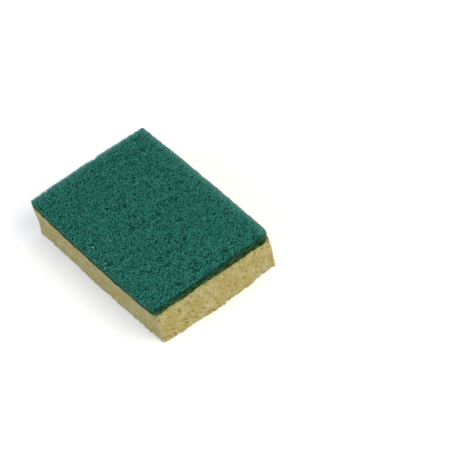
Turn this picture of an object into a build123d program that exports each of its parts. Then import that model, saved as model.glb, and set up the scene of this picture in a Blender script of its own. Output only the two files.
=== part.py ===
from build123d import *
from random import Random
import os

# Scouring pad: a block of open-cell cellulose sponge with a sheet of coarse
# non-woven scouring web bonded flat over its whole top face.
# Millimetres, +Z up, X along the pad's length, origin at the middle of the
# underside, where the sponge rests.

# ---- the block and the web ----
pad_length = 150.0
pad_width = 100.0
sponge_thickness = 27.5
web_thickness = 6.5

sponge_corner_radius = 2.5  # upright edges, softened where the block was sawn
sponge_rim_radius = 1.5  # around the underside
web_corner_radius = 1.2  # three corners of the web are still crisp
worn_corner_radius = 5.5  # the fourth has been pulled round
web_rim_radius = 0.8  # around the scouring face

# ---- the sponge's open cells ----
# Each cell is a shallow round pit: a ball whose centre stands clear of the
# face by a share of its radius. Each pair is a radius and how many of a
# round of cells have it. The sawn sides cut smaller cells than the underside.
underside_cells = ((2.4, 1), (1.7, 2), (1.1, 4))
side_cells = ((1.2, 1), (0.8, 2))
cell_stand_off = 0.35
cell_border = 5.0  # from a face's edge to the nearest cell's middle
cell_spacing = 6.0  # between the middles of two cells
area_per_cell = 150.0  # square millimetres of face for each cell


def cell_places(length, height, seed):
    """Places for a face's cells about its middle, each drawn again until it stands clear of the rest."""
    draw = Random(seed)
    reach_x = length / 2 - cell_border
    reach_y = height / 2 - cell_border
    count = int(4 * reach_x * reach_y / area_per_cell)
    places = []
    while len(places) < count:
        place = Vector(draw.uniform(-reach_x, reach_x), draw.uniform(-reach_y, reach_y))
        if all((place - other).length > cell_spacing for other in places):
            places.append(place)
    return places


def open_cells(face_plane, length, height, kinds, seed):
    """Cut one face's cells into the part being built, dealing the radii out in turn."""
    places = cell_places(length, height, seed)
    round_length = sum(share for radius, share in kinds)
    dealt = 0
    for radius, share in kinds:
        turns = range(dealt, dealt + share)
        group = [place for number, place in enumerate(places) if number % round_length in turns]
        dealt += share
        with Locations(face_plane.offset(radius * cell_stand_off)):
            with Locations(*group):
                Sphere(radius, mode=Mode.SUBTRACT)


# ---- the cellulose sponge ----
with BuildPart() as sponge_block:
    with BuildSketch():
        RectangleRounded(pad_length, pad_width, sponge_corner_radius)
    extrude(amount=sponge_thickness)
    fillet(faces().sort_by(Axis.Z)[0].edges(), radius=sponge_rim_radius)

    underside = Plane(origin=(0, 0, 0), x_dir=(1, 0, 0), z_dir=(0, 0, -1))
    open_cells(underside, pad_length, pad_width, underside_cells, seed=1)
    for seed, way in ((2, 1), (3, -1)):
        long_side = Plane((0, way * pad_width / 2, sponge_thickness / 2), (1, 0, 0), (0, way, 0))
        open_cells(long_side, pad_length, sponge_thickness, side_cells, seed)
    for seed, way in ((4, 1), (5, -1)):
        short_side = Plane((way * pad_length / 2, 0, sponge_thickness / 2), (0, 1, 0), (way, 0, 0))
        open_cells(short_side, pad_width, sponge_thickness, side_cells, seed)

# ---- the scouring web ----
with BuildPart() as scouring_web:
    with BuildSketch(Plane.XY.offset(sponge_thickness)):
        Rectangle(pad_length, pad_width)
        by_reach = vertices().sort_by(lambda corner: corner.X / pad_length + corner.Y / pad_width)
        crisp_corners = by_reach[:-1]
        worn_corner = by_reach[-1]
        fillet(worn_corner, radius=worn_corner_radius)
        fillet(crisp_corners, radius=web_corner_radius)
    extrude(amount=web_thickness)
    fillet(faces().sort_by(Axis.Z)[-1].edges(), radius=web_rim_radius)

# ---- labels and files ----
sponge_block.part.label = "sponge_block"
scouring_web.part.label = "scouring_web"

os.makedirs("parts", exist_ok=True)
export_step(sponge_block.part, "parts/sponge_block.step")
export_step(scouring_web.part, "parts/scouring_web.step")
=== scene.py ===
"""Looks of a scouring pad: a block of open-cell cellulose sponge under a green scouring web.

Everything is in metres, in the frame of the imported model: X runs along the pad, Z is up, and the
origin is the middle of the underside.
"""

import logging
import math
from dataclasses import dataclass
from enum import Enum
from typing import Union

import bpy
import numpy as np
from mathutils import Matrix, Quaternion, Vector


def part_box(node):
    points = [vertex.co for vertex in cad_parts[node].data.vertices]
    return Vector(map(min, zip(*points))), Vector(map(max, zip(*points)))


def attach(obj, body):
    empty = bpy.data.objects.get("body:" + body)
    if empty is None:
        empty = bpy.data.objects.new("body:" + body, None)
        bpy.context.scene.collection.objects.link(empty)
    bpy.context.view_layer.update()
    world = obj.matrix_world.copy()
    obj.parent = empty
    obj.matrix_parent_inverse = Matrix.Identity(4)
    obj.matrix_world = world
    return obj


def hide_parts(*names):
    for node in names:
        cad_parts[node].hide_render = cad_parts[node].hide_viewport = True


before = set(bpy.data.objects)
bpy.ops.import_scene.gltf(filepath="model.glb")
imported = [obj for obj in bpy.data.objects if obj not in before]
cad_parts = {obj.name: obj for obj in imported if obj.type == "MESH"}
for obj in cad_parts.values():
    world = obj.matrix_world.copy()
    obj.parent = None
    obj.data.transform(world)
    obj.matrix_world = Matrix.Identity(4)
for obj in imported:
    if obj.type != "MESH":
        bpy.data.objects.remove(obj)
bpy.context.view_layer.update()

MM = 0.001
BODY = "root"

log = logging.getLogger("scouring_pad")

Colour = tuple[float, float, float, float]
Number = Union[float, "Signal"]


def srgb(red: int, green: int, blue: int) -> Colour:
    """Turn a colour as written on a screen, 0 to 255, into a linear one.

    Args:
        red: Red level.
        green: Green level.
        blue: Blue level.

    Returns:
        The linear colour with an alpha of 1, by the standard two-part screen curve.
    """
    levels = [level / 255 for level in (red, green, blue)]
    linear = [v / 12.92 if v <= 0.04045 else ((v + 0.055) / 1.055) ** 2.4 for v in levels]
    return (linear[0], linear[1], linear[2], 1.0)


# Materials


class Signal:
    """A number that leaves a node. Arithmetic on it adds Math nodes."""

    def __init__(self, shader: "Shader", socket: bpy.types.NodeSocket) -> None:
        """Keep the material and the socket."""
        self.shader = shader
        self.socket = socket

    def math(self, operation: str, *terms: Number) -> "Signal":
        """Add one Math node.

        Args:
            operation: The node's operation.
            terms: Its one to three terms.

        Returns:
            The result.
        """
        node = self.shader.node("ShaderNodeMath", {"operation": operation}, dict(enumerate(terms)))
        return Signal(self.shader, node.outputs[0])

    def __add__(self, other: Number) -> "Signal":
        """Sum of this and another."""
        return self.math("ADD", self, other)

    def __radd__(self, other: Number) -> "Signal":
        """Sum of another and this."""
        return self.math("ADD", other, self)

    def __sub__(self, other: Number) -> "Signal":
        """This less another."""
        return self.math("SUBTRACT", self, other)

    def __rsub__(self, other: Number) -> "Signal":
        """Another less this."""
        return self.math("SUBTRACT", other, self)

    def __mul__(self, other: Number) -> "Signal":
        """Product of this and another."""
        return self.math("MULTIPLY", self, other)

    def __rmul__(self, other: Number) -> "Signal":
        """Product of another and this."""
        return self.math("MULTIPLY", other, self)

    def most(self, other: Number) -> "Signal":
        """The larger of this and another."""
        return self.math("MAXIMUM", self, other)

    def step(self, low: float, high: float) -> "Signal":
        """Rise smoothly from 0 to 1.

        Args:
            low: Where the rise starts.
            high: Where it ends. Below low, the result falls instead.

        Returns:
            The smooth step between the two.
        """
        settings = {"interpolation_type": "SMOOTHSTEP"}
        inputs = {"Value": self, "From Min": low, "From Max": high}
        return Signal(self.shader, self.shader.node("ShaderNodeMapRange", settings, inputs).outputs[0])


class Shader:
    """The nodes of one material, or of the sky."""

    def __init__(self, holder: bpy.types.Material | bpy.types.World) -> None:
        """Empty the node tree of that material or world."""
        self.holder = holder
        holder.use_nodes = True
        self.tree = holder.node_tree
        self.tree.nodes.clear()

    def node(self, kind: str, settings: dict | None = None, inputs: dict | None = None) -> bpy.types.Node:
        """Add a node.

        Args:
            kind: The node's type.
            settings: Its properties, set first.
            inputs: Values or links of its sockets, by name or number.

        Returns:
            The node.
        """
        node = self.tree.nodes.new(kind)
        for name, value in (settings or {}).items():
            setattr(node, name, value)
        for key, value in (inputs or {}).items():
            socket = node.inputs[key]
            if isinstance(value, Signal):
                self.tree.links.new(value.socket, socket)
            elif isinstance(value, bpy.types.NodeSocket):
                self.tree.links.new(value, socket)
            else:
                socket.default_value = value
        return node

    def millimetres(self, stretch: tuple[float, float, float] = (1, 1, 1)) -> bpy.types.NodeSocket:
        """Object coordinates in millimetres, each axis times its stretch."""
        place = self.node("ShaderNodeTexCoord").outputs["Object"]
        scale = [s / MM for s in stretch]
        settings = {"operation": "MULTIPLY"}
        return self.node("ShaderNodeVectorMath", settings, {0: place, 1: scale}).outputs[0]

    def noise(self, place: bpy.types.NodeSocket, size: float, detail: float = 2,
              rough: float = 0.5) -> Signal:
        """Cloudy noise.

        Args:
            place: Coordinates in millimetres.
            size: Size of a cloud in millimetres.
            detail: Finer octaves to add.
            rough: Strength of each finer octave.

        Returns:
            A number about 0.5.
        """
        inputs = {"Vector": place, "Scale": 1 / size, "Detail": detail, "Roughness": rough}
        return Signal(self, self.node("ShaderNodeTexNoise", None, inputs).outputs[0])

    def pores(self, place: bpy.types.NodeSocket, size: float, low: float, high: float,
              upright: bool = False) -> Signal:
        """Round pores, one in each cell of a Voronoi pattern, each with a radius of its own.

        Args:
            place: Coordinates in millimetres.
            size: Distance between pores in millimetres.
            low: Radius of the smallest, as a share of that distance.
            high: Radius of the largest.
            upright: Whether they run straight down instead of being balls.

        Returns:
            1 in the middle of a pore and 0 between pores.
        """
        settings = {"voronoi_dimensions": "2D" if upright else "3D"}
        node = self.node("ShaderNodeTexVoronoi", settings, {"Vector": place, "Scale": 1 / size})
        chance = self.node("ShaderNodeSeparateColor", None, {0: node.outputs["Color"]}).outputs[0]
        radius = Signal(self, chance) * (high - low) + low
        return (radius - Signal(self, node.outputs["Distance"])).step(0, 0.16)

    def attribute(self, name: str) -> Signal:
        """A number that the mesh stores at each of its points."""
        node = self.node("ShaderNodeAttribute", {"attribute_name": name})
        return Signal(self, node.outputs["Fac"])

    def mix(self, share: Number, first: object, second: object) -> bpy.types.NodeSocket:
        """Blend two colours.

        Args:
            share: Share of the second colour.
            first: A colour, or the socket of one.
            second: A colour, or the socket of one.

        Returns:
            The blended colour.
        """
        settings = {"data_type": "RGBA"}
        inputs = {0: share, 6: first, 7: second}
        return self.node("ShaderNodeMix", settings, inputs).outputs[2]

    def bump(self, height: Signal, distance: float, strength: float = 1.0) -> bpy.types.NodeSocket:
        """Normal of a surface raised by height times distance, in metres."""
        inputs = {"Height": height, "Distance": distance, "Strength": strength}
        return self.node("ShaderNodeBump", None, inputs).outputs[0]

    def principled(self, inputs: dict) -> bpy.types.Material:
        """Finish the material with one Principled surface.

        Args:
            inputs: Values or links of the surface's sockets.

        Returns:
            The material.
        """
        surface = self.node("ShaderNodeBsdfPrincipled", None, inputs)
        self.node("ShaderNodeOutputMaterial", None, {"Surface": surface.outputs[0]})
        return self.holder


@dataclass(frozen=True)
class SpongeFinish:
    """Matt cellulose foam: mottled pale yellow, a warm yellow-brown in its cells that deepens with their
    depth, partly its own colour and partly painted shade, and paler along the rounded edges, a painted
    highlight.

    A little green from the web stains it at the joint.
    """

    body: Colour = srgb(182, 170, 118)
    warm: Colour = srgb(178, 158, 88)
    pale: Colour = srgb(200, 192, 154)
    # Warm yellow-brown of the cells, laid on partly as painted shade in their hollows.
    ochre_and_cell_shade: Colour = srgb(172, 140, 50)
    shadow: Colour = srgb(152, 136, 78)
    stain: Colour = srgb(126, 142, 92)
    roughness: float = 0.92

    def material(self) -> bpy.types.Material:
        """Build the material, with clouds, pores, flecks and streaks in millimetres.

        Returns:
            The material.
        """
        shader = Shader(bpy.data.materials.new("cellulose_foam"))
        place = shader.millimetres()
        clouds = shader.noise(place, 8, 3)
        mottle = shader.noise(place, 1.6, 3, 0.6)
        flecks = shader.noise(place, 1.0, 1)
        streaks = shader.noise(shader.millimetres((1, 1, 0.12)), 1.1, 2)
        wide_pores = shader.pores(place, 2.6, -0.15, 0.4)
        fine_pores = shader.pores(place, 0.9, -0.05, 0.42)
        depth = shader.attribute("cell_depth")
        edge_highlight = shader.attribute("edge_highlight")
        colour = shader.mix(mottle.step(0.38, 0.66), self.body, self.warm)
        colour = shader.mix(clouds.step(0.4, 0.68) * 0.75, colour, self.pale)
        colour = shader.mix(streaks.step(0.48, 0.64) * 0.4, colour, self.warm)
        colour = shader.mix(flecks.step(0.55, 0.66) * 0.6, colour, self.pale)
        # Fewer pores show under the painted edge highlight.
        calm = 1 - edge_highlight * 0.8
        # Pores in a warm yellow-brown: partly the foam's own colour, partly painted shade inside them.
        colour = shader.mix(wide_pores * calm * 0.75, colour, self.ochre_and_cell_shade)
        colour = shader.mix(fine_pores * calm * 0.25, colour, self.ochre_and_cell_shade)
        # Paler on the rounded edges: painted highlight.
        colour = shader.mix(edge_highlight * 0.6, colour, self.pale)
        # Darker and warmer with the carved cells' depth: painted shade in the hollows.
        colour = shader.mix(depth.step(0.1, 1.4) * 0.8, colour, self.ochre_and_cell_shade)
        colour = shader.mix(shader.attribute("stained") * 0.5, colour, self.stain)
        specks = shader.noise(place, 0.55, 1)
        colour = shader.mix(specks.step(0.5, 0.64) * 0.6, colour, self.shadow)
        grain = shader.noise(place, 0.35, 3, 0.7)
        height = grain * 0.35 - wide_pores * 0.6 - fine_pores * 0.4
        normal = shader.bump(height, 0.35 * MM)
        return shader.principled({"Base Color": colour, "Roughness": self.roughness,
                                  "Specular IOR Level": 0.2, "Normal": normal})


@dataclass(frozen=True)
class WebCoreFinish:
    """Resin-bound depths of the web, painted dark as the shade between the fibres: dark teal under the
    face, darker in its pits, and darker and yellower in the cut walls.
    """

    # The core's dark teal stands for the shade deep in the web: painted shade.
    body: Colour = srgb(10, 68, 58)
    pit_shade: Colour = srgb(0, 44, 36)
    wall: Colour = srgb(22, 50, 18)
    # Pale colour of a dusting and of the painted rim highlight.
    dust_and_rim_highlight: Colour = srgb(144, 218, 214)
    roughness: float = 0.9

    def material(self) -> bpy.types.Material:
        """Build the material from two sizes of noise, with a pale dusting and painted rim highlight over
        them.

        Returns:
            The material.
        """
        shader = Shader(bpy.data.materials.new("web_core"))
        place = shader.millimetres()
        clumps = shader.noise(place, 1.3, 2)
        strands = shader.noise(place, 0.4, 3, 0.7)
        # Darker and yellower on the cut walls: painted shade of the open web.
        body = shader.mix(shader.attribute("wall").step(0.3, 0.8), self.body, self.wall)
        # Darker pits among the clumps: painted shade.
        colour = shader.mix(clumps.step(0.4, 0.62), self.pit_shade, body)
        # Pale rims: partly a dusting, partly painted highlight.
        colour = shader.mix(shader.attribute("dust_and_rim_highlight"), colour, self.dust_and_rim_highlight)
        normal = shader.bump(strands, 0.5 * MM)
        return shader.principled({"Base Color": colour, "Roughness": self.roughness,
                                  "Specular IOR Level": 0.1, "Normal": normal})


@dataclass(frozen=True)
class FibreFinish:
    """Fibres coated with resin and abrasive grain, from a deep to a bright tone, with painted shade in the
    pits where they dive and painted glints on the brighter ones.

    The spacing of the dark pits is in millimetres.
    """

    name: str
    deep: Colour
    bright: Colour
    # grain is the colour of the painted glints: a painted highlight.
    grain: Colour
    pit_shade: Colour
    # Pale colour of a dusting and of the painted rim highlight.
    dust_and_rim_highlight: Colour = srgb(144, 218, 214)
    pits_upright: bool = False
    pit_spacing: float = 0.84
    roughness: float = 0.6

    def material(self) -> bpy.types.Material:
        """Build the material: the fibre's own tone, broken by painted glints, painted shade in the pits,
        and a pale dusting with painted rim highlight.

        Returns:
            The material.
        """
        shader = Shader(bpy.data.materials.new(self.name))
        place = shader.millimetres()
        tone = shader.attribute("tone")
        grit = shader.noise(place, 0.22, 2, 0.7)
        glints = shader.noise(place, 0.44, 0)
        colour = shader.mix(tone, self.deep, self.bright)
        # Glints in the grain colour on the brighter fibres: painted highlight.
        lit = glints.step(0.48, 0.6) * tone.step(0, 0.45)
        colour = shader.mix(lit, colour, self.grain)
        # Dark pits: painted shade where the fibres dive.
        pits = shader.pores(place, self.pit_spacing, 0.32, 0.5, self.pits_upright)
        colour = shader.mix(pits, colour, self.pit_shade)
        # Pale rims: partly a dusting, partly painted highlight.
        colour = shader.mix(shader.attribute("dust_and_rim_highlight"), colour, self.dust_and_rim_highlight)
        roughness = 0.2 * grit + (self.roughness - 0.1)
        normal = shader.bump(grit, 0.06 * MM)
        return shader.principled({"Base Color": colour, "Roughness": roughness,
                                  "Specular IOR Level": 0.15, "Normal": normal})


@dataclass(frozen=True)
class CrumbFinish:
    """Pale lint and crumbs of foam caught on the web."""

    body: Colour = srgb(126, 194, 182)
    warm: Colour = srgb(164, 208, 196)

    def material(self) -> bpy.types.Material:
        """Build the material from one fine noise.

        Returns:
            The material.
        """
        shader = Shader(bpy.data.materials.new("crumbs"))
        clumps = shader.noise(shader.millimetres(), 0.3, 2)
        colour = shader.mix(clumps.step(0.4, 0.6), self.body, self.warm)
        normal = shader.bump(clumps, 0.1 * MM)
        return shader.principled({"Base Color": colour, "Roughness": 0.85, "Normal": normal})


@dataclass(frozen=True)
class FloorFinish:
    """White paper that takes a shadow, and looks white to the camera, in mirrors and through glass."""

    paper: Colour = (0.82, 0.82, 0.82, 1)
    lift: float = 0.32

    def material(self) -> bpy.types.Material:
        """Build the material: diffuse paper, plus a little light of its own for what looks at it.

        Returns:
            The material.
        """
        shader = Shader(bpy.data.materials.new("paper_floor"))
        paper = shader.node("ShaderNodeBsdfDiffuse", None, {"Color": self.paper}).outputs[0]
        seen = seen_by_rays(shader) * self.lift
        glow = shader.node("ShaderNodeEmission", None, {"Strength": seen}).outputs[0]
        both = shader.node("ShaderNodeAddShader", None, {0: paper, 1: glow}).outputs[0]
        shader.node("ShaderNodeOutputMaterial", None, {"Surface": both})
        return shader.holder


def seen_by_rays(shader: Shader) -> Signal:
    """1 for camera, glossy and transmission rays, and 0 for the rays that carry light.

    Args:
        shader: The nodes that read it.

    Returns:
        The mask.
    """
    rays = shader.node("ShaderNodeLightPath").outputs
    camera, glossy, through = (Signal(shader, rays[name]) for name in
                               ("Is Camera Ray", "Is Glossy Ray", "Is Transmission Ray"))
    return camera.most(glossy).most(through)


# Meshes


@dataclass
class Surface:
    """Points and quads of a piece before it becomes a mesh."""

    points: np.ndarray
    quads: np.ndarray
    numbers: dict[str, np.ndarray]
    lid: np.ndarray | None = None
    map: np.ndarray | None = None

    def piece(self, name: str, material: bpy.types.Material) -> bpy.types.Object:
        """Make the mesh object, smooth shaded, at the origin.

        Args:
            name: Name of the piece.
            material: Its finish.

        Returns:
            The object, which rides on the pad's only body.
        """
        corners = self.quads.ravel()
        starts = np.arange(0, len(corners), 4)
        if self.lid is not None:
            starts = np.append(starts, len(corners))
            corners = np.append(corners, self.lid)
        mesh = bpy.data.meshes.new(name)
        mesh.vertices.add(len(self.points))
        mesh.vertices.foreach_set("co", self.points.astype(np.float32).ravel())
        mesh.loops.add(len(corners))
        mesh.loops.foreach_set("vertex_index", corners.astype(np.int32))
        mesh.polygons.add(len(starts))
        mesh.polygons.foreach_set("loop_start", starts.astype(np.int32))
        mesh.update(calc_edges=True)
        for label, values in self.numbers.items():
            layer = mesh.attributes.new(label, "FLOAT", "POINT")
            layer.data.foreach_set("value", values.astype(np.float32))
        if self.map is not None:
            layer = mesh.uv_layers.new(name="OFBake")
            layer.data.foreach_set("uv", self.map.astype(np.float32).ravel())
        mesh.polygons.foreach_set("use_smooth", np.ones(len(starts), bool))
        mesh.materials.append(material)
        mesh.validate()
        piece = bpy.data.objects.new(name, mesh)
        bpy.context.scene.collection.objects.link(piece)
        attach(piece, BODY)
        triangles = len(corners) - 2 * len(starts)
        log.info("%s: %d triangles", name, triangles)
        return piece


@dataclass
class Shell:
    """A rounded block's surface: points, outward normals, quads and the ring of its open face."""

    points: np.ndarray
    normals: np.ndarray
    quads: np.ndarray
    ring: np.ndarray


def block_shell(half: np.ndarray, height: float, step: float, corner: "CornerRadius", rim: float) -> Shell:
    """Surface of a block with rounded upright corners and a rounded lower rim, open on top.

    The underside is a grid and the walls are rows of its border, so the whole is one lattice. A
    lattice point has an inset from the outline and a height. Within the rim both follow a quarter
    circle: the square of side rim is pushed out to the circle by dividing by its length. Then the
    plan is rounded the same way, on the inset outline, whose corner radius is the radius less the
    inset.

    Args:
        half: Half the length and half the width.
        height: Height of the walls.
        step: Side of a quad.
        corner: Radius of each upright corner.
        rim: Radius of the lower rim.

    Returns:
        The shell, with its underside at height 0.
    """
    across = np.round(2 * half / step).astype(int)
    rows = int(round(height / step))
    i, j = np.meshgrid(np.arange(across[0] + 1), np.arange(across[1] + 1), indexing="ij")
    grid = np.arange(i.size).reshape(i.shape)
    ring = np.concatenate([grid[:-1, 0], grid[-1, :-1], grid[:0:-1, -1], grid[0, :0:-1]])
    flat = np.stack([i.ravel(), j.ravel()], 1) / across * 2 * half - half
    wall = i.size + np.arange(rows * len(ring)).reshape(rows, -1)
    plan = np.vstack([flat, np.tile(flat[ring], (rows, 1))])
    levels = np.repeat(np.arange(1, rows + 1), len(ring)) * height / rows
    heights = np.concatenate([np.zeros(len(flat)), levels])
    inset = np.min(half - np.abs(plan), axis=1)
    lean = np.stack([np.maximum(1 - inset / rim, 0), np.maximum(1 - heights / rim, 0)], 1)
    turn = lean / np.linalg.norm(lean, axis=1)[:, None]
    near = (inset < rim) & (heights < rim)
    new_inset = np.where(near, rim * (1 - turn[:, 0]), inset)
    new_height = np.where(near, rim * (1 - turn[:, 1]), heights)
    plan[near] *= (half - new_inset[near, None]) / (half - inset[near, None])
    radius = np.maximum(corner.at(plan) - new_inset, 1e-7)
    inner = half - (new_inset + radius)[:, None]
    core = np.clip(plan, -inner, inner)
    out = plan - core
    out /= np.maximum(np.linalg.norm(out, axis=1), 1e-12)[:, None]
    points = np.column_stack([core + out * radius[:, None], new_height])
    deep = new_inset > corner.largest
    points[deep, :2] = plan[deep]
    normals = np.column_stack([out * turn[:, :1], -turn[:, 1]])
    rings = np.vstack([ring, wall])
    ahead = np.roll(rings, -1, axis=1)
    walls = np.stack([rings[:-1], ahead[:-1], ahead[1:], rings[1:]], -1).reshape(-1, 4)
    floor = np.stack([grid[:-1, :-1], grid[:-1, 1:], grid[1:, 1:], grid[1:, :-1]], -1).reshape(-1, 4)
    return Shell(points, normals, np.vstack([floor, walls]), rings[-1])


@dataclass(frozen=True)
class CornerRadius:
    """Radius of the upright corners, of which the one at +X, +Y may be worn rounder."""

    crisp: float
    worn: float

    @property
    def largest(self) -> float:
        """The larger radius."""
        return max(self.crisp, self.worn)

    def at(self, plan: np.ndarray) -> np.ndarray:
        """Radius of the corner that each point is nearest to.

        Args:
            plan: Points as seen from above.

        Returns:
            One radius for each.
        """
        return np.where((plan[:, 0] > 0) & (plan[:, 1] > 0), self.worn, self.crisp)


def ripple(points: np.ndarray, wavelength: float, rng: np.random.Generator, waves: int = 14) -> np.ndarray:
    """Smooth random field: a sum of sines of about one wavelength in random directions.

    Args:
        points: Where to work it out.
        wavelength: Middle wavelength, each sine within a third of it.
        rng: Source of the directions and phases.
        waves: How many sines.

    Returns:
        A number for each point, about 0, mostly between -1 and 1.
    """
    aims = rng.normal(size=(3, waves))
    aims /= np.linalg.norm(aims, axis=0) * wavelength * rng.uniform(0.67, 1.33, waves)
    return np.sin(2 * math.pi * (points @ aims + rng.random(waves))).sum(1) * math.sqrt(2 / waves) * 0.7


@dataclass
class PadForm:
    """The pad's sizes, from the frame, and the way that cutting and use have bent it."""

    corner_lift: float = 0.2 * MM
    crown: float = 0.25 * MM
    bulge: float = 0.9 * MM
    far_bow: float = 0.65
    near_bow: float = 0.25
    foot: float = 2.4 * MM
    rake: float = 1.0 * MM
    flare: float = 0.7 * MM
    flare_gain: float = 0.7 * MM
    joint_wander: float = 0.5 * MM
    joint_ragged: float = 0.4 * MM
    joint_rise: float = 1.5 * MM
    joint_reach: float = 5.0 * MM
    seed: int = 5

    def __post_init__(self) -> None:
        """Read the sizes of the two CAD nodes."""
        sponge_low, sponge_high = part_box("sponge_block")
        web_low, web_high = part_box("scouring_web")
        self.half = np.array([sponge_high.x, sponge_high.y])
        self.joint = sponge_high.z
        self.top = web_high.z
        self.web_thickness = web_high.z - web_low.z
        self.sponge_thickness = sponge_high.z - sponge_low.z

    def settle(self, points: np.ndarray) -> np.ndarray:
        """Bend the straight block as the real one sits.

        The corners of the underside lift by the fourth power of their distance out, the top falls
        towards its edges by a fourth power, and each wall bows out by a parabola, the ends by a
        share of what the long sides do. The ends' feet spread by a parabola too, most at the
        floor. The wall at -X rakes out with height, most at its -Y end. The wall at -Y flares with
        the square of the height, all along but at its corners, and more towards +X. The joint
        between foam and web wanders up and down in random waves, and climbs towards the corners
        at -Y.

        Args:
            points: Points of the straight block, any shape that ends in 3.

        Returns:
            The bent points.
        """
        u = points[..., 0] / self.half[0]
        v = points[..., 1] / self.half[1]
        h = np.clip(points[..., 2] / self.top, 0, 1)
        lift = self.corner_lift * (1 - h) ** 2 * np.minimum(u ** 4 * v ** 4, 1)
        fall = self.crown * h * np.minimum((u ** 4 + v ** 4) / 2, 1)
        spread = np.maximum(1 - v ** 2, 0)
        out_x = self.bulge * np.clip(u, -self.far_bow, self.near_bow) * spread
        out_x += self.foot * u ** 5 * spread * (1 - h) ** 2
        out_x -= self.rake * (1 - v) / 2 * np.clip(-u, 0, 1.1) ** 8 * h
        out_y = self.bulge * v * np.maximum(1 - u ** 2, 0)
        lean = (self.flare + self.flare_gain * u) * np.maximum(1 - u ** 8, 0) * h ** 2
        out_y -= lean * np.clip(-v, 0, 1.1) ** 5
        level = points.reshape(-1, 3) * [1, 1, 0]
        rng = np.random.default_rng(self.seed)
        wander = self.joint_wander * ripple(level, 7 * MM, rng)
        wander += self.joint_ragged * ripple(level, 2.5 * MM, rng)
        climb = self.joint_rise * np.clip(0.7 - 2 * v, 0, 1) * np.clip(u ** 6, 0, 1)
        near = np.clip(1 - np.abs(points[..., 2] - self.joint) / self.joint_reach, 0, 1) ** 1.5
        joint = (wander.reshape(u.shape) + climb) * near
        return points + np.stack([out_x, out_y, lift - fall + joint], -1)


# The sponge


class Zone(Enum):
    """Faces of the foam that cells open on, by the axis that they face and which way."""

    UNDERSIDE = 2
    LONG_SIDES = 1
    ENDS = 0

    def holds(self, normals: np.ndarray) -> np.ndarray:
        """Which of the points with these normals lie on the zone."""
        return np.abs(normals[:, self.value]) > 0.75


@dataclass(frozen=True)
class CellKind:
    """One size of open cell and how thickly it is strewn on a zone."""

    zone: Zone
    smallest: float
    largest: float
    area_each: float


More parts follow.
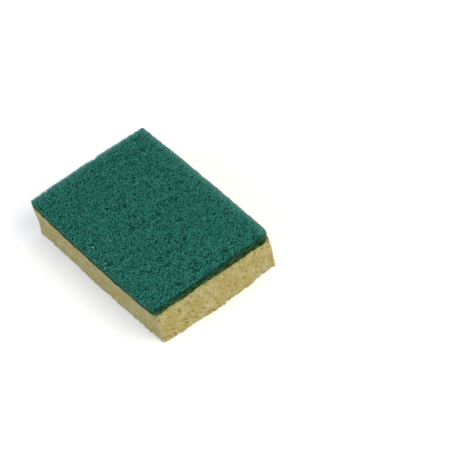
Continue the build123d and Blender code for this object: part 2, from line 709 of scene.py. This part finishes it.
@dataclass
class SpongeBlock:
    """The block of foam, one closed surface with its cells carved in."""

    form: PadForm
    step: float = 0.55 * MM
    corner: CornerRadius = CornerRadius(2.5 * MM, 2.5 * MM)
    rim: float = 1.5 * MM
    deepest: float = 2.4 * MM
    clearance: float = 0.02 * MM
    swell: float = 0.22 * MM
    swell_length: float = 22 * MM
    roughness: float = 0.09 * MM
    rough_length: float = 2.6 * MM
    ragged: float = 0.35 * MM
    ragged_length: float = 5 * MM
    glue_fade: float = 1.2 * MM
    stain_depth: float = 3 * MM
    seed: int = 11
    kinds: tuple[CellKind, ...] = (
        CellKind(Zone.UNDERSIDE, 1.0 * MM, 2.4 * MM, 70 * MM ** 2),
        CellKind(Zone.UNDERSIDE, 0.55 * MM, 1.0 * MM, 9 * MM ** 2),
        CellKind(Zone.ENDS, 0.9 * MM, 1.5 * MM, 75 * MM ** 2),
        CellKind(Zone.ENDS, 0.45 * MM, 0.9 * MM, 7 * MM ** 2),
        CellKind(Zone.LONG_SIDES, 0.8 * MM, 1.2 * MM, 220 * MM ** 2),
        CellKind(Zone.LONG_SIDES, 0.4 * MM, 0.75 * MM, 12 * MM ** 2),
    )

    def carve(self, shell: Shell, rng: np.random.Generator) -> np.ndarray:
        """Depth of the cells at each point of the shell.

        A cell is an ellipsoid whose centre lies a little below a random point of its zone. Where a
        surface point is inside it, the surface drops along its inward normal to the cell's far
        wall: the larger root of the ellipsoid's quadratic.

        Args:
            shell: The uncut block.
            rng: Source of places, sizes and turns.

        Returns:
            One depth for each point.
        """
        depth = np.zeros(len(shell.points))
        for kind in self.kinds:
            places = np.flatnonzero(kind.zone.holds(shell.normals))
            count = int(len(places) * self.step ** 2 / kind.area_each)
            for place in rng.choice(places, count, replace=False):
                radii = rng.uniform(kind.smallest, kind.largest) * rng.uniform(0.6, 1.25, 3)
                axes = np.linalg.qr(rng.normal(size=(3, 3)))[0]
                sink = rng.uniform(0.05, 0.7) * radii.min()
                centre = shell.points[place] - sink * shell.normals[place]
                near = np.flatnonzero(np.all(np.abs(shell.points - centre) < radii.max(), axis=1))
                start = (shell.points[near] - centre) @ axes / radii
                ray = -shell.normals[near] @ axes / radii
                a, b, c = (ray ** 2).sum(1), (start * ray).sum(1), (start ** 2).sum(1) - 1
                drop = (np.sqrt(np.maximum(b * b - a * c, 0)) - b) / a
                depth[near] = np.maximum(depth[near], np.where(c < 0, drop, 0))
        return np.minimum(depth, self.deepest)

    def build(self, finish: SpongeFinish) -> bpy.types.Object:
        """Make the foam.

        Its surface is the shell, moved along its normals by the cells' depth, a slow wave, a fine
        roughness and a raggedness of the lower rim, all fading out at the glued face. What would
        reach below the floor is pressed flat on it.

        Args:
            finish: The foam's finish.

        Returns:
            The piece.
        """
        rng = np.random.default_rng(self.seed)
        shell = block_shell(self.form.half, self.form.sponge_thickness, self.step, self.corner, self.rim)
        depth = self.carve(shell, rng)
        below = self.form.joint - shell.points[:, 2]
        hold = np.clip(below / self.glue_fade, 0, 1)
        waves = self.swell * ripple(shell.points, self.swell_length, rng)
        rough = self.roughness * ripple(shell.points, self.rough_length, rng, 40)
        low = np.clip(1 - shell.points[:, 2] / self.ragged_length, 0, 1)
        rough += self.ragged * low * ripple(shell.points, self.ragged_length, rng, 40)
        move = (waves + rough - depth) * hold
        # Where the surface turns round an upright corner or the lower rim: the mask of the painted edge
        # highlight.
        upright = shell.normals[:, :2]
        corner_turn = 2 * np.abs(upright[:, 0] * upright[:, 1])
        rim_turn = 2 * np.abs(np.linalg.norm(upright, axis=1) * shell.normals[:, 2])
        edge_highlight = np.clip(np.maximum(corner_turn, 0.6 * rim_turn), 0, 1)
        stained = np.clip(1 - below / self.stain_depth, 0, 1) ** 2
        points = self.form.settle(shell.points + shell.normals * move[:, None])
        points[:, 2] = np.maximum(points[:, 2], self.clearance)
        numbers = {"cell_depth": depth / MM, "edge_highlight": edge_highlight, "stained": stained}
        piece = Surface(points, shell.quads, numbers, shell.ring).piece("sponge_foam", finish.material())
        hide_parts("sponge_block")
        return piece


# The web


def tubes(lines: np.ndarray, thickness: np.ndarray, tone: np.ndarray, dust_and_rim_highlight: np.ndarray) -> Surface:
    """Four-sided fibres round a bundle of centrelines.

    A ring stands across each point of a line, its corners at quarter turns about the tangent. The
    fibres taper a little to their closed ends. Each fibre has its own square in the map.

    Args:
        lines: Centrelines, fibres by points by 3.
        thickness: Diameter of each fibre.
        tone: Tone at each point of each line, 0 deep to 1 bright.
        dust_and_rim_highlight: Share of the pale dusting and painted rim highlight at each point.

    Returns:
        The surface of all the fibres.
    """
    fibres, steps = lines.shape[:2]
    sides = 4
    along = np.gradient(lines, axis=1)
    along /= np.linalg.norm(along, axis=2, keepdims=True)
    side = np.cross(along, [0.0, 0.0, 1.0])
    side /= np.maximum(np.linalg.norm(side, axis=2, keepdims=True), 1e-9)
    up = np.cross(side, along)
    taper = 1 - 0.45 * np.abs(np.linspace(-1, 1, steps)) ** 6
    radius = thickness[:, None, None, None] / 2 * taper[None, :, None, None]
    turn = (np.arange(sides) + 0.5) * 2 * math.pi / sides
    spoke = np.cos(turn)[:, None] * side[:, :, None] + np.sin(turn)[:, None] * up[:, :, None]
    points = (lines[:, :, None] + radius * spoke).reshape(-1, 3)
    index = np.arange(fibres * steps * sides).reshape(fibres, steps, sides)
    nxt = np.roll(index, -1, axis=2)
    skin = np.stack([index[:, :-1], index[:, 1:], nxt[:, 1:], nxt[:, :-1]], -1).reshape(-1, 4)
    ends = np.concatenate([index[:, 0, :], index[:, -1, ::-1]])
    cells = math.ceil(math.sqrt(fibres))
    row, column = np.divmod(np.arange(fibres), cells)
    s = np.arange(steps - 1) / (steps - 1)
    t = np.arange(sides) / sides
    patch = np.stack(np.meshgrid(s, t, indexing="ij"), -1)[:, :, None] + np.array(
        [[0, 0], [1 / (steps - 1), 0], [1 / (steps - 1), 1 / sides], [0, 1 / sides]])
    origin = np.stack([column, row], -1)
    skin_map = (origin[:, None, None, None] + 0.1 + 0.8 * patch[None]) / cells
    square = np.array([[0.0, 0.0], [0.05, 0.0], [0.05, 0.05], [0.0, 0.05]])
    end_map = (np.concatenate([origin, origin])[:, None] + 0.02 + square) / cells
    spread = np.concatenate([skin_map.reshape(-1, 2), end_map.reshape(-1, 2)])
    numbers = {"tone": np.repeat(tone.ravel(), sides), "dust_and_rim_highlight": np.repeat(dust_and_rim_highlight.ravel(), sides)}
    return Surface(points, np.vstack([skin, ends]), numbers, map=spread)


@dataclass
class ScouringWeb:
    """The sheet of crimped, resin-bonded fibres on top of the foam."""

    form: PadForm
    corner: CornerRadius = CornerRadius(1.7 * MM, 5.5 * MM)
    rim: float = 0.8 * MM
    core_step: float = 1.0 * MM
    core_drop: float = 0.7 * MM
    fibre_thickness: float = 0.31 * MM
    layers: int = 4
    fibres_per_layer: int = 2000
    fibre_length: float = 7.5 * MM
    layer_depth: float = 1.2 * MM
    core_inset: float = 0.15 * MM
    core_pits: float = 0.5 * MM
    core_swell: float = 0.2 * MM
    wall_hold: float = 0.75
    # How much pale dusting and painted rim highlight the rims get, and how far in it reaches.
    dust_and_highlight_share: float = 0.62
    dust_and_highlight_reach: float = 2.1 * MM
    back_dust_and_highlight: float = 0.9
    front_dust_and_highlight: float = 0.05
    front_reach: float = 1.5 * MM
    most_dust_and_highlight: float = 0.8
    end_glow: float = 0.3
    glow_reach: float = 4 * MM
    end_dark: float = 1.5
    dark_reach: float = 1.4 * MM
    tone_low: float = 0.36
    # Rise of the tone from the lowest layer to the top one: painted shade on the deeper fibres.
    tone_rise: float = 0.32
    tone_spread: float = 0.05
    crimp_wide: float = 0.8 * MM
    crimp_fine: float = 0.42 * MM
    crimp_rise: float = 0.22 * MM
    cut_wave: float = 0.35 * MM
    cut_wave_length: float = 3.4 * MM
    cut_hang: float = 0.9 * MM
    stray_root: float = 0.7 * MM
    cut_fibres: int = 1600
    stray_fibres: int = 1500
    seed: int = 23

    def outline(self, plan: np.ndarray) -> tuple[np.ndarray, np.ndarray]:
        """Distance outside the web's outline, negative inside, and the way out.

        The corner's centre lies one radius in from both sides. Beyond it on both axes the distance
        is that to the centre less the radius, and elsewhere that to the nearer side.

        Args:
            plan: Points as seen from above, any shape that ends in 2.

        Returns:
            The distances, and unit vectors.
        """
        flat = plan.reshape(-1, 2)
        radius = self.corner.at(flat)
        sign = np.where(flat < 0, -1.0, 1.0)
        past = np.abs(flat) - (self.form.half - radius[:, None])
        reach = np.linalg.norm(np.maximum(past, 0), axis=1)
        round_part = past.min(1) > 0
        distance = np.where(round_part, reach, past.max(1)) - radius
        facing = np.stack([past[:, 0] >= past[:, 1], past[:, 0] < past[:, 1]], 1).astype(float)
        turned = past / np.maximum(reach, 1e-9)[:, None]
        out = np.where(round_part[:, None], turned, facing) * sign
        return distance.reshape(plan.shape[:-1]), out.reshape(plan.shape)

    def perimeter(self, share: np.ndarray) -> tuple[np.ndarray, np.ndarray]:
        """Places on the outline.

        A point runs round the plain rectangle at even speed and is then drawn in to the outline.

        Args:
            share: Share of the way round, 0 to 1.

        Returns:
            The places, and the unit vectors out of the web there.
        """
        length, width = 2 * self.form.half
        run = share * 2 * (length + width)
        stops = np.array([0, length, length + width, 2 * length + width, 2 * (length + width)])
        x = np.interp(run, stops, np.array([-1, 1, 1, -1, -1]) * length / 2)
        y = np.interp(run, stops, np.array([-1, -1, 1, 1, -1]) * width / 2)
        plan = np.stack([x, y], -1)
        distance, out = self.outline(plan)
        return plan - out * distance[:, None], out

    def core(self, finish: WebCoreFinish) -> bpy.types.Object:
        """Make the mass of fibres inside the web, painted dark as the shade between them.

        It is a block shell turned over, its rim upwards, with a pitted top and walls. One
        random wave, squared, sinks it below the fibres that lie on it and a slower plain one bends
        it, both less in the walls.

        Args:
            finish: The core's finish.

        Returns:
            The piece.
        """
        rng = np.random.default_rng(self.seed)
        half = self.form.half - self.core_inset
        height = self.form.web_thickness - self.core_drop
        shell = block_shell(half, height, self.core_step, self.corner, self.rim)
        hold = np.clip((height - shell.points[:, 2]) / self.core_step, 0, 1)
        pits = self.core_pits * ripple(shell.points, 3 * MM, rng, 40) ** 2
        pits += self.core_swell * ripple(shell.points, 9 * MM, rng)
        wall = np.linalg.norm(shell.normals[:, :2], axis=1)
        points = shell.points - shell.normals * (pits * hold * (1 - self.wall_hold * wall))[:, None]
        points[:, 2] = self.form.joint + height - points[:, 2]
        quads = shell.quads[:, ::-1]
        numbers = {"wall": wall, "dust_and_rim_highlight": self.dust_and_rim_highlight(points)}
        surface = Surface(self.form.settle(points), quads, numbers, shell.ring[::-1])
        piece = surface.piece("web_core", finish.material())
        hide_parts("scouring_web")
        return piece

    def lay(self, centres: np.ndarray, heading: np.ndarray, length: np.ndarray, steps: int,
            rng: np.random.Generator) -> np.ndarray:
        """Centrelines of crimped fibres that lie flat and stay inside the outline.

        A line is straight, swayed sideways by two sines and up and down by a third. What passes
        the outline is drawn back to it, and near it the line sinks by a parabola, as a rim does.

        Args:
            centres: Middle of each fibre.
            heading: Its direction in the plane of the web.
            length: Its length.
            steps: Points along it.
            rng: Source of the crimp.

        Returns:
            The lines, fibres by points by 3.
        """
        fibres = len(centres)
        run = length[:, None] * np.linspace(-0.5, 0.5, steps)
        phase = rng.uniform(0, 2 * math.pi, (4, fibres, 1))
        wave = rng.uniform([[[5]], [[2.6]], [[3]]], [[[8]], [[3.8]], [[5]]], (3, fibres, 1)) * MM
        sway = self.crimp_wide * np.sin(2 * math.pi * run / wave[0] + phase[0])
        sway += self.crimp_fine * np.sin(2 * math.pi * run / wave[1] + phase[1])
        rise = self.crimp_rise * np.sin(2 * math.pi * run / wave[2] + phase[2])
        cos, sin = np.cos(heading)[:, None], np.sin(heading)[:, None]
        plan = np.stack([run * cos - sway * sin, run * sin + sway * cos], -1) + centres[:, None, :2]
        distance, out = self.outline(plan)
        edge = rng.uniform(-0.25, 0.25, (fibres, 1)) * MM
        plan -= out * np.maximum(distance + edge, 0)[..., None]
        sink = 0.5 * self.rim * np.clip(1 + (distance + edge) / (1.6 * self.rim), 0, 1) ** 2
        return np.concatenate([plan, (centres[:, None, 2] + rise - sink)[..., None]], -1)

    def strew(self, count: int, rng: np.random.Generator) -> np.ndarray:
        """Even but irregular places all over the web.

        The web is cut into near-square cells, as many as there are places, and each place is a
        random point of its cell.

        Args:
            count: How many places, about.
            rng: Source of the scatter.

        Returns:
            The places as seen from above.
        """
        length, width = 2 * self.form.half
        rows = round(math.sqrt(count * width / length))
        cell = np.arange(count)
        columns = count / rows
        column, row = (cell % columns) / columns, (cell // columns) / rows
        share = np.stack([column + rng.random(count) / columns, row + rng.random(count) / rows], 1)
        return (2 * share - 1) * self.form.half

    def dust_and_rim_highlight(self, lines: np.ndarray) -> np.ndarray:
        """Share of pale colour on the rims of two sides, -X and +Y: partly a dusting, partly a painted
        highlight where backlight catches the rim fibres.

        It falls off by a power of e with the distance from the nearer of the two. A trace of it
        lies along -Y too. Down the cut walls it fades with the square of the height above the
        joint.

        Args:
            lines: Points of the fibres.

        Returns:
            A share for each point.
        """
        left = np.exp(-(lines[..., 0] + self.form.half[0]) / self.dust_and_highlight_reach)
        back = np.exp(-(self.form.half[1] - lines[..., 1]) / self.dust_and_highlight_reach)
        trace = self.front_dust_and_highlight * np.exp(-(lines[..., 1] + self.form.half[1]) / self.front_reach)
        height = np.clip((lines[..., 2] - self.form.joint) / self.form.web_thickness, 0, 1)
        rims = self.dust_and_highlight_share * np.maximum(left, self.back_dust_and_highlight * back)
        return np.clip(rims + trace, 0, self.most_dust_and_highlight) * height ** 2

    def shade(self, lines: np.ndarray) -> np.ndarray:
        """Painted shade right at the rim of the +X end and a little painted highlight behind it, as changes
        of tone.

        It falls off by a power of e with the distance from the end.

        Args:
            lines: Points of the fibres.

        Returns:
            What to add to the tone of each point.
        """
        inset = np.maximum(self.form.half[0] - lines[..., 0], 0)
        glow = self.end_glow * np.exp(-inset / self.glow_reach)
        return glow - self.end_dark * np.exp(-inset / self.dark_reach)

    def face_fibres(self, finish: FibreFinish) -> list[bpy.types.Object]:
        """Make the layers of fibres of the scouring face, the top one brightest and the deeper ones darker
        by painted shade.

        Args:
            finish: The fibres' finish.

        Returns:
            One piece for each layer.
        """
        material = finish.material()
        pieces = []
        for layer in range(self.layers):
            rng = np.random.default_rng(self.seed + 1 + layer)
            count = self.fibres_per_layer
            plan = self.strew(count, rng)
            share = (layer + rng.random(count)) / self.layers
            height = self.form.top - 0.2 * MM - self.layer_depth * (1 - share)
            length = self.fibre_length * rng.uniform(0.6, 1.4, count)
            heading = rng.uniform(0, math.pi, count)
            lines = self.lay(np.column_stack([plan, height]), heading, length, 10, rng)
            thickness = self.fibre_thickness * rng.uniform(0.75, 1.2, count)
            # Tone rises with the layer's height, a painted shade of the depths, and spreads at random as
            # the fibres' own.
            tone = self.tone_low + self.tone_rise * share + rng.normal(0, self.tone_spread, count)
            tone = np.clip(tone[:, None] + self.shade(lines), 0, 1)
            surface = tubes(self.form.settle(lines), thickness, tone, self.dust_and_rim_highlight(lines))
            piece = surface.piece(f"face_fibres_{layer + 1}", material)
            pieces.append(piece)
        return pieces

    def edge_fibres(self, finish: FibreFinish) -> bpy.types.Object:
        """Make the short fibres that show on the cut walls.

        Each follows the wall, bows out of it by half a cosine, slopes and waves. What rises past
        the top is folded in over it. Those on the long sides, along which the fibres lie, are
        a little brighter.

        Args:
            finish: Their finish.

        Returns:
            The piece.
        """
        rng = np.random.default_rng(self.seed + 40)
        count, steps = self.cut_fibres, 8
        place, out = self.perimeter(rng.random(count))
        tangent = np.stack([-out[:, 1], out[:, 0]], -1)
        share = np.linspace(-0.5, 0.5, steps)
        run = rng.uniform(2.2, 5.5, (count, 1)) * MM * share
        bow = rng.uniform(0.1, 0.45, (count, 1)) * MM * np.cos(math.pi * share) - 0.15 * MM
        height = self.form.joint + self.form.web_thickness * rng.uniform(-0.02, 0.97, (count, 1))
        phase = rng.uniform(0, 2 * math.pi, (count, 1))
        wave = self.cut_wave * np.sin(2 * math.pi * run / self.cut_wave_length + phase)
        rise = height + run * rng.normal(0, 0.32, (count, 1)) + wave
        plan = place[:, None] + tangent[:, None] * run[..., None]
        distance, way = self.outline(plan)
        top = self.form.top - 0.1 * MM
        plan += way * (bow - distance - np.maximum(rise - top, 0))[..., None]
        hang = self.form.joint + 0.1 * MM - self.cut_hang * rng.random((count, 1)) ** 3
        lines = np.concatenate([plan, np.clip(rise, hang, top)[..., None]], -1)
        # Tones kept low on the cut walls: partly painted shade of the open web.
        tone = np.tile(0.65 * rng.random((count, 1)) + 0.05 * np.abs(out[:, 1:]), (1, steps))
        # Pale rims: partly a dusting, partly painted highlight.
        dust_and_rim_highlight = self.dust_and_rim_highlight(lines)
        thickness = self.fibre_thickness * rng.uniform(0.7, 1.15, count)
        surface = tubes(self.form.settle(lines), thickness, tone, dust_and_rim_highlight)
        piece = surface.piece("cut_edge_fibres", finish.material())
        return piece

    def whiskers(self, finish: FibreFinish) -> bpy.types.Object:
        """Make the fibre ends that stand out of the top rim all round.

        Each leaves the rim outwards, leans along it, and curls by a parabola, up or down.

        Args:
            finish: Their finish.

        Returns:
            The piece.
        """
        rng = np.random.default_rng(self.seed + 80)
        count, steps = self.stray_fibres, 5
        place, out = self.perimeter(rng.random(count))
        tangent = np.stack([-out[:, 1], out[:, 0]], -1)
        share = np.linspace(0, 1, steps)
        reach = rng.uniform(0.15, 0.55, (count, 1)) * MM
        outwards = (1.3 * share - 0.3 * share ** 2) * (reach + self.stray_root) - self.stray_root
        along = rng.normal(0, 1.0, (count, 1)) * MM * share
        plan = place[:, None] + tangent[:, None] * along[..., None]
        distance, way = self.outline(plan)
        plan += way * (outwards - distance)[..., None]
        height = self.form.top - rng.uniform(0.3, 2.2, (count, 1)) * MM
        rise = height + rng.normal(0, 0.35, (count, 1)) * MM * share ** 2
        lines = np.concatenate([plan, rise[..., None]], -1)
        tone = np.clip(rng.uniform(0.2, 0.8, (count, 1)) + self.shade(lines), 0, 1)
        thickness = self.fibre_thickness * rng.uniform(0.5, 0.9, count)
        surface = tubes(self.form.settle(lines), thickness, tone, self.dust_and_rim_highlight(lines))
        piece = surface.piece("stray_fibres", finish.material())
        return piece

    def build(self) -> list[bpy.types.Object]:
        """Make the core, the face, the cut edge and its strays.

        Returns:
            The pieces.
        """
        # Face colours: deep, bright, the painted glints and the painted shade of the pits.
        face = FibreFinish("face_fibre", srgb(0, 62, 48), srgb(46, 158, 144), srgb(84, 192, 178),
                           srgb(0, 18, 14), pits_upright=True)
        # The cut fibres' dark greens are partly painted shade of the open cut walls.
        cut = FibreFinish("cut_fibre", srgb(24, 60, 26), srgb(80, 136, 82), srgb(92, 138, 78),
                          srgb(0, 28, 10))
        stray = FibreFinish("stray_fibre", srgb(0, 72, 60), srgb(64, 156, 136), srgb(92, 176, 160),
                            srgb(0, 34, 26))
        pieces = [self.core(WebCoreFinish()), *self.face_fibres(face)]
        pieces.append(self.edge_fibres(cut))
        pieces.append(self.whiskers(stray))
        return pieces


@dataclass
class Crumbs:
    """Specks of lint and foam that lie on the web."""

    form: PadForm
    places: tuple[tuple[float, float], ...] = (
        (-4.5 * MM, -32.0 * MM), (-1.4 * MM, -31.9 * MM), (-5.3 * MM, -43.8 * MM),
        (8.2 * MM, -41.2 * MM), (13.9 * MM, -46.4 * MM), (17.0 * MM, -48.8 * MM),
    )
    radius: float = 0.36 * MM
    seed: int = 71

    def build(self, finish: CrumbFinish) -> bpy.types.Object:
        """Make the specks as one piece.

        Each is a ball of rings and spokes, stretched along a random heading and dented by a sine of
        both angles, closed by small end rings.

        Args:
            finish: The specks' finish.

        Returns:
            The piece.
        """
        rng = np.random.default_rng(self.seed)
        count, rings, spokes = len(self.places), 9, 12
        dip = np.linspace(0.04, math.pi - 0.04, rings)[:, None]
        turn = np.arange(spokes) * 2 * math.pi / spokes
        ball = np.stack([np.sin(dip) * np.cos(turn), np.sin(dip) * np.sin(turn),
                         np.cos(dip) + 0 * turn], -1)
        phase = rng.uniform(0, 6, (count, 1, 1))
        dent = 1 + 0.22 * np.sin(3 * turn + 4 * dip + phase) + 0.12 * np.sin(5 * turn - 3 * dip + 2 * phase)
        size = self.radius * rng.uniform(0.7, 1.2, (count, 1, 1)) * dent
        shape = ball * size[..., None] * np.stack([rng.uniform(1.2, 2.0, count), np.ones(count),
                                                   np.full(count, 0.7)], -1)[:, None, None]
        heading = rng.uniform(0, math.pi, count)[:, None, None]
        x = shape[..., 0] * np.cos(heading) - shape[..., 1] * np.sin(heading)
        y = shape[..., 0] * np.sin(heading) + shape[..., 1] * np.cos(heading)
        place = np.array(self.places)[:, None, None]
        height = self.form.top + 0.1 * MM
        points = np.stack([x + place[..., 0], y + place[..., 1], shape[..., 2] + height], -1)
        index = np.arange(count * rings * spokes).reshape(count, rings, spokes)
        nxt = np.roll(index, -1, axis=2)
        skin = np.stack([index[:, :-1], index[:, 1:], nxt[:, 1:], nxt[:, :-1]], -1).reshape(-1, 4)
        caps = np.concatenate([index[:, 0].reshape(count, -1, 4), index[:, -1, ::-1].reshape(count, -1, 4)])
        points = self.form.settle(points).reshape(-1, 3)
        surface = Surface(points, np.vstack([skin, caps.reshape(-1, 4)]), {})
        piece = surface.piece("crumbs", finish.material())
        return piece


# The studio


@dataclass(frozen=True)
class Lamp:
    """A square softbox that points at the pad."""

    name: str
    azimuth: float
    elevation: float
    distance: float
    side: float
    power: float
    colour: tuple[float, float, float]

    def build(self) -> None:
        """Hang the lamp, its azimuth in degrees from +X towards +Y."""
        data = bpy.data.lights.new(self.name, "AREA")
        data.size = self.side
        data.energy = self.power
        data.color = self.colour
        way = direction(self.azimuth, self.elevation)
        lamp = bpy.data.objects.new(self.name, data)
        lamp.location = way * self.distance
        lamp.rotation_euler = (-way).to_track_quat("-Z", "Y").to_euler()
        bpy.context.scene.collection.objects.link(lamp)


def direction(azimuth: float, elevation: float) -> Vector:
    """Unit vector at an azimuth in degrees from +X towards +Y and an elevation above the floor."""
    a, e = math.radians(azimuth), math.radians(elevation)
    return Vector((math.cos(e) * math.cos(a), math.cos(e) * math.sin(a), math.sin(e)))


@dataclass
class Studio:
    """A pale floor, soft light and the camera."""

    azimuth: float = -26.97
    elevation: float = 45.96
    roll: float = 14.55
    distance: float = 2.1038
    aim: tuple[float, float, float] = (0.03359, 0.04025, 0.017)
    lens: float = 238.94
    floor_side: float = 6.0
    sky: float = 0.35
    lamps: tuple[Lamp, ...] = (
        Lamp("key", 22, 48, 1.5, 0.9, 16.5, (1.0, 0.976, 0.8)),
        Lamp("fill", -108, 30, 1.6, 1.0, 10.6, (0.66, 0.78, 1.0)),
        Lamp("rim", 110, 40, 1.6, 0.7, 3, (0.97, 0.98, 1.0)),
    )

    def build(self) -> None:
        """Set up the floor, the lamps, the sky and the camera."""
        self.floor(FloorFinish())
        for lamp in self.lamps:
            lamp.build()
        self.world()
        self.camera()
        bpy.context.scene.view_settings.view_transform = "Standard"

    def floor(self, finish: FloorFinish) -> None:
        """Lay the floor under the pad.

        Args:
            finish: The floor's finish.
        """
        reach = self.floor_side / 2
        corners = np.array([[-1, -1], [1, -1], [1, 1], [-1, 1]]) * reach
        mesh = bpy.data.meshes.new("floor")
        mesh.from_pydata([(x, y, 0.0) for x, y in corners.tolist()], [], [(0, 1, 2, 3)])
        mesh.materials.append(finish.material())
        floor = bpy.data.objects.new("floor", mesh)
        bpy.context.scene.collection.objects.link(floor)

    def world(self) -> None:
        """Light the scene with an even sky that looks white to the camera."""
        world = bpy.data.worlds.new("sky")
        bpy.context.scene.world = world
        shader = Shader(world)
        seen = seen_by_rays(shader)
        strength = seen * (1 - self.sky) + self.sky
        sky = shader.node("ShaderNodeBackground", None, {"Color": (1, 1, 1, 1), "Strength": strength})
        shader.node("ShaderNodeOutputWorld", None, {"Surface": sky.outputs[0]})

    def camera(self) -> None:
        """Point the camera at its aim, and roll it about its own axis."""
        data = bpy.data.cameras.new("camera")
        data.lens = self.lens
        data.sensor_width = 36.0
        data.clip_start = 0.05
        way = direction(self.azimuth, self.elevation)
        camera = bpy.data.objects.new("camera", data)
        camera.location = Vector(self.aim) + way * self.distance
        turn = (-way).to_track_quat("-Z", "Y") @ Quaternion((0, 0, 1), math.radians(-self.roll))
        camera.rotation_euler = turn.to_euler()
        bpy.context.scene.collection.objects.link(camera)
        bpy.context.scene.camera = camera


def main() -> None:
    """Build the pad and the studio round it."""
    logging.basicConfig(level=logging.INFO, format="%(name)s: %(message)s")
    form = PadForm()
    SpongeBlock(form).build(SpongeFinish())
    ScouringWeb(form).build()
    Crumbs(form).build(CrumbFinish())
    Studio().build()


if __name__ == "__main__":
    main()
